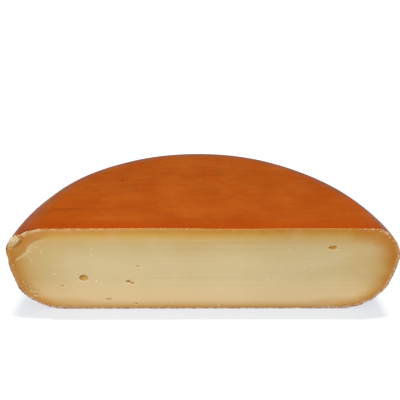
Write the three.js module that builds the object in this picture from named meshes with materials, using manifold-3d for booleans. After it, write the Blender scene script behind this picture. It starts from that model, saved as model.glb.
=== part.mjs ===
// Half a wheel of aged gouda, standing on its flat underside with the cut face forward.
// Millimetres. +Z is up, -Y is the way the cut face looks, and +X runs along the cut.
// The wheel is turned about Z, cut through its middle, and then gets the marks of its age:
// the eyes that the knife opened, the corner that broke away, and the nicks along the rind.
import * as THREE from "three";
import { mergeVertices } from "three/addons/utils/BufferGeometryUtils.js";
import Module from "manifold-3d";

const wasm = await Module();
wasm.setup();

// Driving dimensions of the whole wheel
const WHEEL_RADIUS = 175; // at the widest ring of the side
const WHEEL_HEIGHT = 90.7; // at the edge of the top
const CROWN = 2.4; // the middle of the top stands this far above its edge
const WIDEST_AT = 0.65 * WHEEL_HEIGHT; // the side bulges above the middle
const BASE_RADIUS = 0.755 * WHEEL_RADIUS; // the flat that it rests on
const TOP_RADIUS = 0.874 * WHEEL_RADIUS;

// How each shoulder rounds off, as the powers of a rounded box
const BASE_SHOULDER = { fullness: 2.3, softness: 2 };
const TOP_SHOULDER = { fullness: 2.3, softness: 1.12 };

// A ripened wheel is never quite round: how many lobes, the share of the radius that they
// add, and the direction of one of them, in degrees from +X towards the back
const LOBES = [
  { count: 2, share: 0.0152, towards: 132.5 },
  { count: 3, share: 0.0042, towards: 106.6 },
  { count: 5, share: 0.0018, towards: 81.5 },
];
const TOP_WAVE = 0.55; // nor is it flat: depth of the soft dents in the top

// Facets
const TURN_STEPS = 144; // steps in the full turn, of which half are kept
const BASE_SHOULDER_STEPS = 13;
const TOP_SHOULDER_STEPS = 9;
const TOP_RINGS = 7;

// Eyes that the cut opened: where the middle is on the face, how wide, high and deep, and how torn
const EYES = {
  round: { across: -108, up: 38, wide: 8.4, high: 6.4, deep: 4.6, torn: 0.06 },
  split: { across: -66.8, up: 32.7, wide: 6.6, high: 3.6, deep: 3.2, torn: 0.3 },
  pinhole: { across: -129, up: 28.3, wide: 2.8, high: 2.2, deep: 1.6, torn: 0.15 },
  slit: { across: -88.6, up: 12.6, wide: 6.2, high: 2, deep: 2, torn: 0.15 },
  shortSlit: { across: -58.3, up: 51.3, wide: 4, high: 1.7, deep: 1.5, torn: 0.15 },
  low: { across: -62.1, up: 7.1, wide: 2.2, high: 1.8, deep: 1.5, torn: 0.2 },
  ragged: { across: 115.2, up: 71, wide: 8.6, high: 4.6, deep: 3.8, torn: 0.34 },
};

// The upper left corner broke away instead of cutting: a shallow step behind the face
const BREAK_DEPTH = 0.9; // where the break begins, nearest the middle
const BREAK_TILT = THREE.MathUtils.degToRad(2.5); // it deepens towards the rind
const BREAK_LINE = [
  [-130, 84], [-138, 77.4], [-148.5, 75.6], [-152.6, 72.4], [-156.8, 68],
  [-161.2, 64], [-166, 58.4], [-182, 52],
];
const BREAK_TOP = 100; // past the top of the wheel
const BREAK_SLAB = 12; // thickness of the piece that went, past the front of the face

// Where rind and paste crumbled out of that corner, and the slivers left standing there
const CRUMBLED = [
  { across: -166.5, up: 78.5, wide: 13, high: 8, deep: 5.5, torn: 0.3 },
  { across: -157, up: 85.2, wide: 12, high: 4.6, deep: 3.4, torn: 0.3 },
  { across: -145, up: 89.4, wide: 14, high: 3, deep: 2.2, torn: 0.25 },
];
const SLIVERS = [
  { across: -165.2, up: 80.2, long: 5, lean: 0.7 },
  { across: -161.3, up: 83.4, long: 4.4, lean: 0.3 },
  { across: -168.6, up: 75.2, long: 4.2, lean: 1.1 },
  { across: -151.5, up: 86.8, long: 4.6, lean: -0.2 },
];
const SLIVER_WIDE = 2.2;
const SLIVER_DEEP = 2.8;
const SLIVER_INSET = 1.2; // how far behind the face the slivers stand

// Nicks where the knife crumbled the rind along the cut edge
const NICKS = 34;
const NICKS_RIGHT = 0.62; // share at the right end, which crumbled more
const NICKS_LOW = 0.75; // share below the widest ring
const NICK_SIZE = 1.5;
const NICK_INSET = 0.6; // how far inside the rind's outline they sit
const NICK_SEED = 7;

// Radius of the side at a height, between the widest ring and the flats
function sideRadius(z) {
  const lower = z < WIDEST_AT;
  const away = lower
    ? (WIDEST_AT - z) / WIDEST_AT
    : (z - WIDEST_AT) / (WHEEL_HEIGHT - WIDEST_AT);
  const { fullness, softness } = lower ? BASE_SHOULDER : TOP_SHOULDER;
  const flat = lower ? BASE_RADIUS : TOP_RADIUS;
  const pulledIn = 1 - Math.pow(1 - Math.pow(away, fullness), 1 / softness);
  return WHEEL_RADIUS - (WHEEL_RADIUS - flat) * pulledIn;
}

// How much wider than round the wheel is in a direction, seen from above
function outOfRound(azimuth) {
  let wider = 1;
  for (const { count, share, towards } of LOBES) {
    wider += share * Math.cos(count * (azimuth - THREE.MathUtils.degToRad(towards)));
  }
  return wider;
}

// Soft dents, which fade out below the shoulder so that the underside stays flat
function dent(x, y, z) {
  const share = THREE.MathUtils.smoothstep(z, WIDEST_AT, WHEEL_HEIGHT);
  const wave = Math.sin(x / 31 + 0.6) * Math.cos(y / 37) + 0.6 * Math.sin((x + y) / 19);
  return -TOP_WAVE * share * (0.5 + 0.5 * wave);
}

// A number from 0 to 1, the same series for the same seed
function seededRandom(seed) {
  let state = seed;
  return () => {
    state = (state * 1664525 + 1013904223) % 4294967296;
    return state / 4294967296;
  };
}

// A closed three.js geometry as a manifold-3d solid
function toSolid(geometry) {
  const bare = geometry.clone();
  bare.deleteAttribute("normal");
  bare.deleteAttribute("uv");
  const merged = mergeVertices(bare, 1e-3);
  return new wasm.Manifold(
    new wasm.Mesh({
      numProp: 3,
      vertProperties: merged.attributes.position.array,
      triVerts: new Uint32Array(merged.index.array),
    }),
  );
}

// A manifold-3d solid as a three.js geometry
function toGeometry(solid) {
  const { vertProperties, triVerts } = solid.getMesh();
  const geometry = new THREE.BufferGeometry()
    .setAttribute("position", new THREE.BufferAttribute(vertProperties, 3))
    .setIndex(new THREE.BufferAttribute(triVerts, 1));
  geometry.computeVertexNormals();
  return geometry;
}

// Moves every vertex of a geometry by a function
function reshape(geometry, move) {
  const position = geometry.getAttribute("position");
  const point = new THREE.Vector3();
  for (let i = 0; i < position.count; i++) {
    move(point.fromBufferAttribute(position, i));
    position.setXYZ(i, point.x, point.y, point.z);
  }
  return geometry;
}

// The wheel's outline from the middle of its underside round to the middle of its top
function wheelOutline() {
  const outline = [new THREE.Vector2(0, 0)];
  for (let i = BASE_SHOULDER_STEPS; i > 0; i--) {
    const z = WIDEST_AT * (1 - Math.sin((i / BASE_SHOULDER_STEPS) * (Math.PI / 2)));
    outline.push(new THREE.Vector2(sideRadius(z), z));
  }
  for (let i = 0; i <= TOP_SHOULDER_STEPS; i++) {
    const share = Math.sin((i / TOP_SHOULDER_STEPS) * (Math.PI / 2));
    const z = WIDEST_AT + (WHEEL_HEIGHT - WIDEST_AT) * share;
    outline.push(new THREE.Vector2(sideRadius(z), z));
  }
  for (let i = TOP_RINGS - 1; i >= 0; i--) {
    const share = i / TOP_RINGS;
    const z = WHEEL_HEIGHT + CROWN * (1 - share * share);
    outline.push(new THREE.Vector2(share * TOP_RADIUS, z));
  }
  return outline;
}

// The whole wheel, a little oval and dented
function wholeWheel() {
  const turned = new THREE.LatheGeometry(wheelOutline(), TURN_STEPS).rotateX(Math.PI / 2);
  return toSolid(
    reshape(turned, (p) => {
      const wider = outOfRound(Math.atan2(p.y, p.x));
      p.x *= wider;
      p.y *= wider;
      p.z += dent(p.x, p.y, p.z);
    }),
  );
}

// The half of the wheel in front of the cut, which was taken away
function frontHalf() {
  const reach = 2.4 * WHEEL_RADIUS;
  const box = new THREE.BoxGeometry(reach, reach, reach);
  return toSolid(box.translate(0, -reach / 2, 0));
}

// A torn hollow or lump: a ball pressed to size whose surface wanders in and out
function tornBall({ across, up, wide, high, deep, torn }, columns = 18, rows = 12) {
  const ball = new THREE.SphereGeometry(1, columns, rows).rotateX(Math.PI / 2);
  return toSolid(
    reshape(ball, (p) => {
      const wander =
        Math.sin(2.1 * p.x + across) * Math.cos(2.7 * p.z + up) +
        0.6 * Math.sin(4.3 * p.x * p.z + 2 * across) +
        0.4 * Math.cos(5.1 * p.z - 3.7 * p.y + up);
      p.multiplyScalar(1 + torn * wander);
      p.set(across + (p.x * wide) / 2, p.y * deep, up + (p.z * high) / 2);
    }),
  );
}

// The slab that broke off the upper left corner, hinged where the break begins
function brokenCorner() {
  const outline = BREAK_LINE.map(([x, z]) => new THREE.Vector2(x, z));
  const hinge = outline[0].x;
  const end = outline.at(-1).x;
  outline.push(new THREE.Vector2(end, BREAK_TOP), new THREE.Vector2(hinge, BREAK_TOP));
  const slab = new THREE.ExtrudeGeometry(new THREE.Shape(outline), {
    depth: BREAK_SLAB,
    bevelEnabled: false,
  });
  slab.rotateX(Math.PI / 2).translate(-hinge, 0, 0);
  slab.rotateZ(-BREAK_TILT).translate(hinge, BREAK_DEPTH, 0);
  return toSolid(slab);
}

// A sliver of rind that stands up from the broken corner
function sliver({ across, up, long, lean }) {
  const shard = new THREE.OctahedronGeometry(1, 0);
  shard.scale(long / 2, SLIVER_DEEP / 2, SLIVER_WIDE / 2);
  shard.rotateY(lean).translate(across, SLIVER_INSET, up);
  return toSolid(shard);
}

// One nick in the rind's cut edge, at a random place on the face's outline
function nick(random) {
  const right = random() < NICKS_RIGHT;
  const low = random() < NICKS_LOW;
  const share = random();
  const z = low ? share * WIDEST_AT : WIDEST_AT + share * (WHEEL_HEIGHT - WIDEST_AT);
  const azimuth = right ? 0 : Math.PI;
  const reach = (sideRadius(z) - NICK_INSET) * outOfRound(azimuth);
  const size = NICK_SIZE * (0.6 + 0.8 * random());
  const chip = new THREE.IcosahedronGeometry(size, 0);
  chip.scale(0.8 + random(), 0.5 + 0.4 * random(), 0.7 + 0.6 * random());
  chip.rotateY(random() * Math.PI);
  chip.translate((right ? 1 : -1) * reach, 0, z);
  return toSolid(chip);
}

// The half wheel with its eyes, broken corner and nicks
function halfWheel() {
  const random = seededRandom(NICK_SEED);
  const nicks = Array.from({ length: NICKS }, () => nick(random));
  const slivers = SLIVERS.map((s) => sliver(s));
  const hollows = [...Object.values(EYES), ...CRUMBLED].map((h) => tornBall(h));
  let half = wholeWheel().subtract(frontHalf()).subtract(brokenCorner());
  for (const hollow of [...hollows, ...nicks]) half = half.subtract(hollow);
  for (const shard of slivers) half = half.add(shard);
  const bodies = half.decompose().sort((a, b) => b.volume() - a.volume());
  return bodies[0];
}

// The origin goes under the middle of the box that the cheese fills
function standOnOrigin(geometry) {
  geometry.computeBoundingBox();
  const { min, max } = geometry.boundingBox;
  return geometry.translate(-(min.x + max.x) / 2, -(min.y + max.y) / 2, -min.z);
}

const cheese = new THREE.Mesh(
  standOnOrigin(toGeometry(halfWheel())),
  new THREE.MeshStandardMaterial({ color: 0xd0bb8c, roughness: 0.55, metalness: 0 }),
);
cheese.name = "half_wheel";

const part = new THREE.Group();
part.add(cheese);

export default part;
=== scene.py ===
# %% [markdown]
# # Half a wheel of aged gouda
# The cheese stands on its flat underside with the cut face forward: creamy paste, a darker band
# where it dried towards the rind, and a satin orange coat. It could be half a drum with a painted
# front, but a real one bulges, sags and crumbles. So it is one closed body with relief in its cut,
# dressed with crumbs, chips and crystals, and lit softly on a pale floor.

import math
import random

import bmesh
import bpy
import numpy as np
from mathutils import Euler, Matrix, Vector, noise


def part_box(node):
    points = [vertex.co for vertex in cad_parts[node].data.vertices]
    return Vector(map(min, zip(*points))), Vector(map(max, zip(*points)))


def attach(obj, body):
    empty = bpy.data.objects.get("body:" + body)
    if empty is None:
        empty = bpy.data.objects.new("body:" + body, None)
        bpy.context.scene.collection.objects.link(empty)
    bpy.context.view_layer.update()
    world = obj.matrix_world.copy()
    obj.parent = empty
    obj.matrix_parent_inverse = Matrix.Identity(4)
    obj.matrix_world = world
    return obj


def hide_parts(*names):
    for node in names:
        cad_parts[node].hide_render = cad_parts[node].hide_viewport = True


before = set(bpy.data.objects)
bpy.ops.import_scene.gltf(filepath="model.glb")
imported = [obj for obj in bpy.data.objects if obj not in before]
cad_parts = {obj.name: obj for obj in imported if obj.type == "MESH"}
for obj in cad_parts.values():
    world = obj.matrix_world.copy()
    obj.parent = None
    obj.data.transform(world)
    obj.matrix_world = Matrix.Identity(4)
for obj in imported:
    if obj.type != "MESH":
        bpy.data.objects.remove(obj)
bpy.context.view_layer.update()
low, high = (Vector(corner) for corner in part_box("half_wheel"))
MM = 0.001
print("the solid measures", [round((b - a) / MM, 1) for a, b in zip(low, high)], "mm")

# %% [markdown]
# ## The wheel's own sizes
# A pressed wheel is a drum with bulging sides, widest above the middle, with a long soft lower
# shoulder and a short upper one. Its side could be a curve drawn by hand, but a formula for the
# radius at any height gives the outline of the cut as well. Three slow waves make the ring a
# little out of round. The half is modelled in the wheel's own place first, its axis on Z and its
# cut on the XZ plane.

# %% The side of the wheel as a formula
RADIUS = 175 * MM  # at the widest ring
HEIGHT = 90.7 * MM  # at the edge of the top
WIDEST_AT = 0.65 * HEIGHT
BASE_RADIUS = 0.755 * RADIUS  # the flat that it rests on
TOP_RADIUS = 0.874 * RADIUS
SHOULDER_FULLNESS = 2.3
BASE_SOFTNESS = 2
TOP_SOFTNESS = 1.12
# waves round the ring: how many, their share of the radius, and where one of them is, in degrees
LOBES = ((2, 0.0152, 132.5), (3, 0.0042, 106.6), (5, 0.0018, 81.5))


def side_radius(z):
    """Radius of the round, even wheel at a height or an array of heights."""
    z = np.asarray(z, dtype=float)
    lower = z < WIDEST_AT
    reach = np.where(lower, WIDEST_AT, HEIGHT - WIDEST_AT)
    away = np.clip(np.abs(z - WIDEST_AT) / reach, 0, 1)
    softness = np.where(lower, BASE_SOFTNESS, TOP_SOFTNESS)
    flat = np.where(lower, BASE_RADIUS, TOP_RADIUS)
    pulled_in = 1 - (1 - away**SHOULDER_FULLNESS) ** (1 / softness)
    return RADIUS - (RADIUS - flat) * pulled_in


def out_of_round(azimuth):
    """How much wider than round the wheel is in a direction, seen from above."""
    return 1 + sum(s * np.cos(n * (azimuth - math.radians(d))) for n, s, d in LOBES)


AXIS_X = (low.x + high.x - RADIUS * float(out_of_round(0) - out_of_round(math.pi))) / 2
FACE_Y = low.y
print("the axis is at x", round(AXIS_X / MM, 2), "mm and the cut at y", round(FACE_Y / MM, 2), "mm")

# %% [markdown]
# ## Camera
# The photograph looks down on the cut by 30 degrees from less than half a metre away. A camera
# could be placed by eye, but this close the perspective is strong, so its place, tilt and lens
# were fitted to the outlines of the cut and of the top. It is level and needs no shift.

# %% A camera at the photograph's place
PHOTO_PIXELS = 400
FOCAL_PIXELS = 486.6
SENSOR = 36.0
CAMERA_FROM_CUT = Vector((-2.9, -349.9, 323.3)) * MM
CAMERA_PITCH = 0.5257  # radians below level
CAMERA_YAW = -0.0026


def fresh(add, **settings):
    """Adds an object with nothing else selected, and returns it."""
    bpy.ops.object.select_all(action="DESELECT")
    add(**settings)
    return bpy.context.object


camera = fresh(
    bpy.ops.object.camera_add,
    location=Vector((AXIS_X, FACE_Y, 0)) + CAMERA_FROM_CUT,
    rotation=(math.pi / 2 - CAMERA_PITCH, 0, CAMERA_YAW),
)
camera.name = "photo_camera"
camera.data.sensor_fit = "HORIZONTAL"
camera.data.sensor_width = SENSOR
camera.data.lens = SENSOR * FOCAL_PIXELS / PHOTO_PIXELS
camera.data.clip_start = 10 * MM
bpy.context.scene.camera = camera
print("lens", round(camera.data.lens, 1), "mm")

# %% [markdown]
# ## Modelling by hand
# Each operator acts on what is selected, so a few helpers enter edit mode on one piece, pick
# parts of its mesh, and leave again. Parts could be picked by number, but numbers change with
# every cut, so they are picked by where they are.

# %% Picking parts of a mesh
TINY = 1e-7  # metres; a smaller gap counts as none


def take(*pieces):
    """Selects these pieces alone, with the first one active."""
    bpy.ops.object.select_all(action="DESELECT")
    for piece in pieces:
        piece.select_set(True)
    bpy.context.view_layer.objects.active = pieces[0]


def start_editing(piece, action="DESELECT"):
    """Edit mode on this piece alone, with nothing or all of it selected."""
    take(piece)
    bpy.ops.object.mode_set(mode="EDIT")
    bpy.ops.mesh.select_mode(type="VERT")
    bpy.ops.mesh.select_all(action=action)


def pick(piece, kind, test):
    """Selects the verts, edges or faces of the edited piece that pass a test."""
    mesh = bmesh.from_edit_mesh(piece.data)
    for part in getattr(mesh, kind):
        part.select_set(test(part))
    mesh.select_flush_mode()
    bmesh.update_edit_mesh(piece.data)


def stop_editing():
    bpy.ops.object.mode_set(mode="OBJECT")


# %% [markdown]
# ## The cut face
# The cut carries the look of this cheese, so it is a fine grid of about a millimetre. A flat disc
# would have long thin faces that cannot take relief. So one straight rung at the foot is extruded
# upward again and again, and stretched to the wheel's width at each height. Cutting every rung
# into as many steps turns this ladder into the grid. It is finest at the foot and the top.

# %% A ladder of rungs, then a grid
ROWS = 130
COLUMNS = 360
FIRST_CUT = 4  # the rungs are cut in two goes, because one cut makes at most 100 parts
CROWDING = 0.55  # how much closer the rungs lie at both ends


def row_height(row):
    share = row / ROWS
    return HEIGHT * (share - CROWDING * math.sin(2 * math.pi * share) / (2 * math.pi))


body = fresh(bpy.ops.mesh.primitive_plane_add, size=2)
body.name = "cheese_body"
start_editing(body)
pick(body, "verts", lambda v: v.co.y > 0)
bpy.ops.mesh.delete(type="VERT")
bpy.ops.mesh.select_all(action="SELECT")
bpy.ops.transform.translate(value=(0, 1, 0))
width = float(side_radius(0))
bpy.ops.transform.resize(value=(width, 1, 1), center_override=(0, 0, 0))
for row in range(1, ROWS + 1):
    rise = row_height(row) - row_height(row - 1)
    wider = float(side_radius(row_height(row))) / width
    width *= wider
    bpy.ops.mesh.extrude_region_move(TRANSFORM_OT_translate={"value": (0, 0, rise)})
    bpy.ops.transform.resize(value=(wider, 1, 1), center_override=(0, 0, 0))
for parts in (FIRST_CUT, COLUMNS // FIRST_CUT):
    bpy.ops.mesh.select_mode(type="EDGE")
    pick(body, "edges", lambda e: abs(e.verts[0].co.z - e.verts[1].co.z) < TINY)
    bpy.ops.mesh.subdivide(number_cuts=parts - 1)
print("the cut face has", len(bmesh.from_edit_mesh(body.data).faces), "faces")

# %% [markdown]
# ## The body behind the face
# The rest of a wheel is a turned shape. As a second mesh it would leave a seam at the rim of the
# cut. So the right-hand border of the face is spun half a turn about the axis, on to the left-hand
# one, and merging the doubles closes the seam and both poles. Two planes just behind the cut add
# edge loops, so that the rim can crumble.

# %% Spin, close and cut two loops
TURN_STEPS = 60
RIM_LOOPS = (0.8 * MM, 2.2 * MM)
MERGE = 0.0005 * MM


def places(piece):
    """The vertices of a piece as an array of places."""
    flat = np.empty(3 * len(piece.data.vertices))
    piece.data.vertices.foreach_get("co", flat)
    return flat.reshape(-1, 3)


bpy.ops.mesh.select_mode(type="EDGE")
pick(body, "edges", lambda e: e.is_boundary and min(v.co.x for v in e.verts) > -TINY)
bpy.ops.mesh.spin(steps=TURN_STEPS, angle=-math.pi, center=(0, 0, 0), axis=(0, 0, 1))
bpy.ops.mesh.select_mode(type="VERT")
bpy.ops.mesh.select_all(action="SELECT")
bpy.ops.mesh.remove_doubles(threshold=MERGE)
for distance in RIM_LOOPS:
    bpy.ops.mesh.select_all(action="SELECT")
    bpy.ops.mesh.bisect(plane_co=(0, distance, 0), plane_no=(0, 1, 0))
bpy.ops.mesh.select_all(action="SELECT")
bpy.ops.mesh.normals_make_consistent(inside=False)
open_edges = sum(not e.is_manifold for e in bmesh.from_edit_mesh(body.data).edges)
stop_editing()
reach = places(body)[:, 1].max()
print("the body reaches", round(reach / MM, 1), "mm back and has", open_edges, "open edges")

# %% [markdown]
# ## Moving every vertex by a formula
# Where no operator gives a shape, all vertices are moved by a formula. A loop could do it one by
# one, but an array is quicker. A smooth step blends one shape into the next without a crease.


# %% Reshape and smooth steps
def reshape(piece, move):
    """Moves every vertex of a piece by a function on the array of their places."""
    piece.data.vertices.foreach_set("co", move(places(piece)).ravel())
    piece.data.update()


def smoothstep(start, end, value):
    share = np.clip((value - start) / (end - start), 0, 1)
    return share * share * (3 - 2 * share)


def fade(start, end, value):
    """The other way round: from 1 down to 0."""
    return 1 - smoothstep(start, end, value)


print("a quarter of the way up a smooth step is", smoothstep(0, 1, 0.25))

# %% [markdown]
# ## Months on a shelf
# A real wheel has a slightly raised top with soft dents, a ring wider one way than the other,
# shoulders that swell here and there, and a rounder top edge at the left end. Once it is cut, its
# top sinks a little there. Sculpting could give this, but all of it is slow waves, so one formula
# does it, and the flat underside stays flat.

# %% Out of round, swollen and dented
TOP_RISE = 2.4 * MM  # the middle of the top above its edge
SUNK_AT_CUT = 0.7  # share of the rise that is lost at the cut
SINK_REACH = 70 * MM
DENT_DEPTH = 0.55 * MM
DENT_ACROSS, DENT_BACK, DENT_SLANT = 31 * MM, 37 * MM, 19 * MM  # waves of dents, per radian
LEFT_EDGE_DROP = 0.8 * MM  # the edge of the top is rounder at the left end
LEFT_EDGE_REACH = 7 * MM
LEFT_EDGE_FROM = (125, 155)  # degrees
LIFT = ((0, 900, 0.75), (-112, 32, 0.5), (-155, 13, -2.0))  # across, reach and rise of the top, mm
GROWTH = 0.4  # millimetres that the whole ring stands out
# height and direction of each swell, its reach in both, and how far out it goes; mm and degrees
SWELLS = (
    (20, 180, 13, 35, 3.1),
    (70, 180, 9, 16, 1.9),
    (24, 0, 16, 35, 1.6),
    (56, 0, 12, 35, 1.2),
    (82, 0, 8, 12, 0.6),
    (84, 95, 9, 32, 1.2),
    (84, 158, 9, 9, 1.4),
    (88, 180, 5, 9, -0.8),
    (82, 18, 10, 10, -0.8),
)


def settle(points):
    """The turned wheel after months on a shelf."""
    x, y, z = points.T
    ring = np.hypot(x, y)
    azimuth = np.arctan2(y, x)
    swell = GROWTH + sum(
        out * np.exp(-(((z / MM - h) / tall) ** 2) - ((np.degrees(azimuth) - a) / broad) ** 2)
        for h, a, tall, broad, out in SWELLS
    )
    wider = out_of_round(azimuth) + swell * MM / RADIUS
    sunk = 1 - SUNK_AT_CUT * fade(0, SINK_REACH, y)
    near_top = (z / HEIGHT) ** 3
    rise = TOP_RISE * sunk * np.clip(1 - (ring / TOP_RADIUS) ** 2, 0, 1) * near_top
    x, y = x * wider, y * wider
    wave = np.sin(x / DENT_ACROSS + 0.6) * np.cos(y / DENT_BACK) + 0.6 * np.sin((x + y) / DENT_SLANT)
    dent = DENT_DEPTH * smoothstep(WIDEST_AT, HEIGHT, z) * (0.5 + 0.5 * wave)
    lift = sum(up * MM * np.exp(-(((x / MM - middle) / reach) ** 2)) for middle, reach, up in LIFT)
    worn = LEFT_EDGE_DROP * np.exp(-(((ring - TOP_RADIUS) / LEFT_EDGE_REACH) ** 2))
    worn = worn * smoothstep(*LEFT_EDGE_FROM, np.degrees(azimuth))
    return np.column_stack((x, y, z + rise - dent + (lift - worn) * near_top))


reshape(body, settle)
print("the body now measures", (np.ptp(places(body), axis=0) / MM).round(1), "mm")

# %% [markdown]
# ## How far from the rind
# Near the rind the paste is darker, and it crumbles. The distance could be measured to every
# vertex of the rind, but a few hundred samples of the outline do as well. Each also knows the way
# into the cheese, and by that whether it belongs to the top, a side or the foot.

# %% The outline of the cut
SIDE_SAMPLES = 130
FLAT_SAMPLES = 260
CHUNK = 5000  # places measured at a time, to save memory


def cut_outline():
    """Samples of the outline of the cut, as places (x, z) and unit vectors into the cheese."""
    z = np.array([row_height(ROWS * i / SIDE_SAMPLES) for i in range(SIDE_SAMPLES + 1)])
    flat = np.linspace(-1, 1, FLAT_SAMPLES)
    ends = side_radius(z)
    right = np.column_stack((ends, 0 * z, z))
    left = right[::-1] * (-1, 1, 1)
    top = np.column_stack((-flat * TOP_RADIUS, 0 * flat, 0 * flat + HEIGHT))
    foot = np.column_stack((flat * BASE_RADIUS, 0 * flat, 0 * flat))
    ring = settle(np.vstack((right, top[1:-1], left, foot[1:-1])))[:, (0, 2)]
    along = np.roll(ring, -1, axis=0) - np.roll(ring, 1, axis=0)
    inward = np.column_stack((-along[:, 1], along[:, 0]))
    return ring, inward / np.linalg.norm(inward, axis=1)[:, None]


def from_rind(x, z, stretch=1.0):
    """Distance from the outline of the cut, and the nearest sample, for arrays of places.

    A stretch for each sample makes some of the outline count as farther away."""
    stretch = np.broadcast_to(stretch, len(OUTLINE))
    distance = np.empty(len(x))
    nearest = np.empty(len(x), dtype=int)
    for start in range(0, len(x), CHUNK):
        part = slice(start, start + CHUNK)
        across = x[part, None] - OUTLINE[:, 0]
        up = z[part, None] - OUTLINE[:, 1]
        found = ((across**2 + up**2) * stretch**2).argmin(axis=1)
        row = np.arange(len(found))
        inside = across[row, found] * INWARD[found, 0] + up[row, found] * INWARD[found, 1]
        nearest[part] = found
        distance[part] = inside * stretch[found]
    return np.maximum(distance, 0), nearest


OUTLINE, INWARD = cut_outline()
UNDER_TOP = np.clip(-INWARD[:, 1], 0, 1)  # 1 where the outline is the top, 0 at the side and foot
ALONG_FOOT = np.clip(INWARD[:, 1], 0, 1)
middle_depth, _ = from_rind(np.zeros(1), np.full(1, HEIGHT / 2))
print(len(OUTLINE), "samples, and the middle is", round(middle_depth[0] / MM, 1), "mm deep")

# %% [markdown]
# ## Noise and lines on the cut
# The cut is uneven in many ways at once. Each could be sculpted, but a noise with its own
# wavelength and seed gives it again on every run. Cracks are not random, so they are crooked
# lines, and the distance from a line tells where they act.

# %% Noises and crooked lines
# the wavelength of each noise across and up, in millimetres, and its seed
CUT_NOISES = {
    "wander": (70, 40, 3.1),
    "ripple": (120, 5, 8.7),
    "grain": (2.2, 1.8, 5.3),
    "coarse": (9, 7, 1.9),
    "facets": (6.5, 5, 2.2),
    "small facets": (2.6, 2.2, 6.1),
    "nicks": (3.1, 2.4, 4.4),
    "nicked stretches": (14, 14, 9.2),
    "ragged": (4, 1.6, 12.3),
    "flaky": (3, 3, 7.7),
}


def noise_at(points, scale, seed=0.0):
    """Smooth noise from -1 to 1 at an array of places; scale is its wavelength on each axis."""
    steps = points / np.asarray(scale) + seed
    return np.array([noise.noise(Vector(p)) for p in steps])


def cut_noise(name, points):
    """One of the noises of the cut, from -1 to 1, the same all the way back."""
    across, up, seed = CUT_NOISES[name]
    return noise_at(points * (1, 0, 1), (across * MM, 1, up * MM), seed)


def from_line(x, z, line):
    """Distance of places from a crooked line, positive on its right-hand side."""
    best = np.full(len(x), 1.0)
    signed = np.full(len(x), 1.0)
    for start, end in zip(line[:-1], line[1:]):
        step = end - start
        gap = np.column_stack((x, z)) - start
        share = np.clip(gap @ step / (step @ step), 0, 1)
        away = np.linalg.norm(gap - share[:, None] * step, axis=1)
        side = np.sign(gap[:, 0] * step[1] - gap[:, 1] * step[0])
        closer = away < best
        best = np.where(closer, away, best)
        signed = np.where(closer, away * side, signed)
    return signed


def from_spot(x, z, across, up):
    """Distance of places from a spot of the cut, in millimetres."""
    return np.hypot(x / MM - across, z / MM - up)


CREASE = np.array([
    (-126, 87), (-138, 80.3), (-143, 78.6), (-148.2, 76.2), (-150.8, 73.9), (-152.8, 71.6),
    (-154.6, 68.6), (-156.2, 65.6), (-160, 63.3), (-163.6, 60.2), (-166.8, 58.2), (-182, 50),
]) * MM
print("the crease of the broken corner has", len(CREASE) - 1, "straight parts")

# %% [markdown]
# ## Relief of the cut
# A knife leaves a hard cheese nearly flat: the cut wanders a little, has faint level ripples, and
# crumbles along the rind. The upper left corner broke off, and left a shallow step behind a
# crooked crease. Carving this with booleans would be slow. Nothing hangs over, so the relief is
# simply a depth for each place of the face.

# %% Ripples, crumbled rim and broken corner
WANDER = 0.22 * MM
RIPPLE = 0.07 * MM
RIM_CRUMBLE = 0.75 * MM
RIM_WIDTH = 3.2 * MM
TOP_RIM_SHARE = 0.4  # the rim crumbled less along the top
BREAK_STEP = 1.0 * MM
BREAK_SOFTNESS = 2.2 * MM  # width of the step at the crease
BREAK_SLOPE = 0.05
BREAK_ENDS = (-150 * MM, -126 * MM)  # the step fades out between these
FACET_DEPTH = 0.9 * MM
CHIPS = ((-166.5, 79.5, 6.5, 2.4), (-157, 84, 4.5, 0.8), (-171, 71, 4, 1.2))  # across, up, wide, deep


def relief(x, z, depth):
    """How far the cut lies behind its plane at each place."""
    flat = np.column_stack((x, 0 * x, z))
    wander = WANDER * (0.5 + 0.5 * cut_noise("wander", flat))
    ripple = RIPPLE * (0.5 + 0.5 * cut_noise("ripple", flat))
    grain = 0.5 + 0.5 * cut_noise("grain", flat)
    coarse = 0.5 + 0.5 * cut_noise("coarse", flat)
    crumble = RIM_CRUMBLE * grain * (0.35 + coarse) * fade(0, RIM_WIDTH, depth)
    crumble = crumble * np.where(z > HEIGHT - RIM_WIDTH, TOP_RIM_SHARE, 1)
    beyond = from_line(x, z, CREASE)
    facets = cut_noise("facets", flat) + 0.5 * cut_noise("small facets", flat)
    behind = BREAK_STEP + BREAK_SLOPE * beyond + FACET_DEPTH * (0.5 + 0.5 * facets)
    step = smoothstep(0, BREAK_SOFTNESS, beyond) * behind
    step = step * fade(*BREAK_ENDS, x)
    chips = sum(
        MM * deep * fade(0.2, 1, from_spot(x, z, cx, cz) / wide) * (0.6 + 0.8 * grain)
        for cx, cz, wide, deep in CHIPS
    )
    return np.maximum(wander + ripple + crumble + step + chips, 0)


middle = relief(np.zeros(1), np.full(1, HEIGHT / 2), middle_depth)
print("in the middle the relief is", round(middle[0] / MM, 2), "mm deep")

# %% [markdown]
# ## A rim that crumbled
# Where the knife left the rind, bits of its edge came away too. Small cutters could take them out
# one by one, but letting the edge loops behind the rim follow a noise keeps the mesh closed.

# %% Push the cut back and nick its rim
RELIEF_REACH = 9 * MM  # the relief fades out this far behind the cut
NICK_DEPTH = 0.6 * MM
NICK_BACK = 3 * MM
NICK_LENGTH = 4.5 * MM
TOP_CALM = 0.7  # the rim is less nicked along the top


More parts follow.
